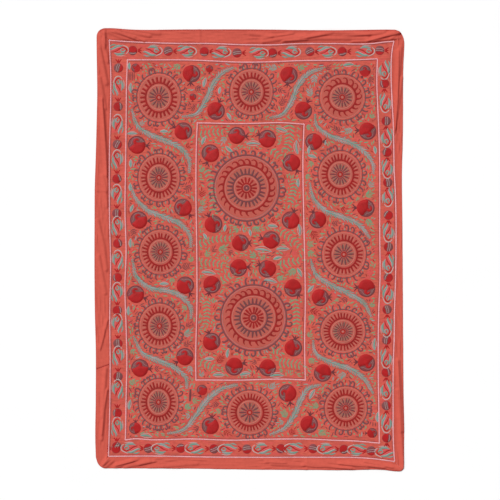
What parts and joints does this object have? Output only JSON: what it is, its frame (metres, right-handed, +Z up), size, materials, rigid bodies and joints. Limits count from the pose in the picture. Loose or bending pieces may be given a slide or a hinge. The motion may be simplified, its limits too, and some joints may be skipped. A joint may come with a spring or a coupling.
{
  "type": "suzani embroidered textile",
  "caption": "Rectangular suzani cover laid out flat: a coral ground panel for dense silk needlework, edged with plain coral cloth strips, hemmed and mitred, with soft drag creases.",
  "frame": {"origin": "on the floor, under the middle of the cloth", "axes": "+Z up, out of the embroidered face; +Y towards the cloth's top edge; +X to its right"},
  "size_m": [1.503, 2.15, 0.0062],
  "materials": {
    "ground_cloth": "plain-woven coral cloth with a slight silk sheen",
    "border_cloth": "plain-woven coral cloth, soft and lightly creased",
    "thread_red": "couched crimson silk thread",
    "thread_mauve": "couched dusky plum silk thread",
    "thread_aqua": "couched sea-green silk thread",
    "thread_green": "couched leaf-green silk thread",
    "thread_pale": "chain-stitched pale pink and lilac silk thread",
    "thread_salmon": "couched salmon silk thread"
  },
  "bodies": {
    "root": {"embroidered_panel": "ground_cloth", "border_top": "border_cloth", "border_bottom": "border_cloth", "border_right": "border_cloth", "border_left_upper": "border_cloth", "border_left_lower": "border_cloth"}
  },
  "joints": []
}
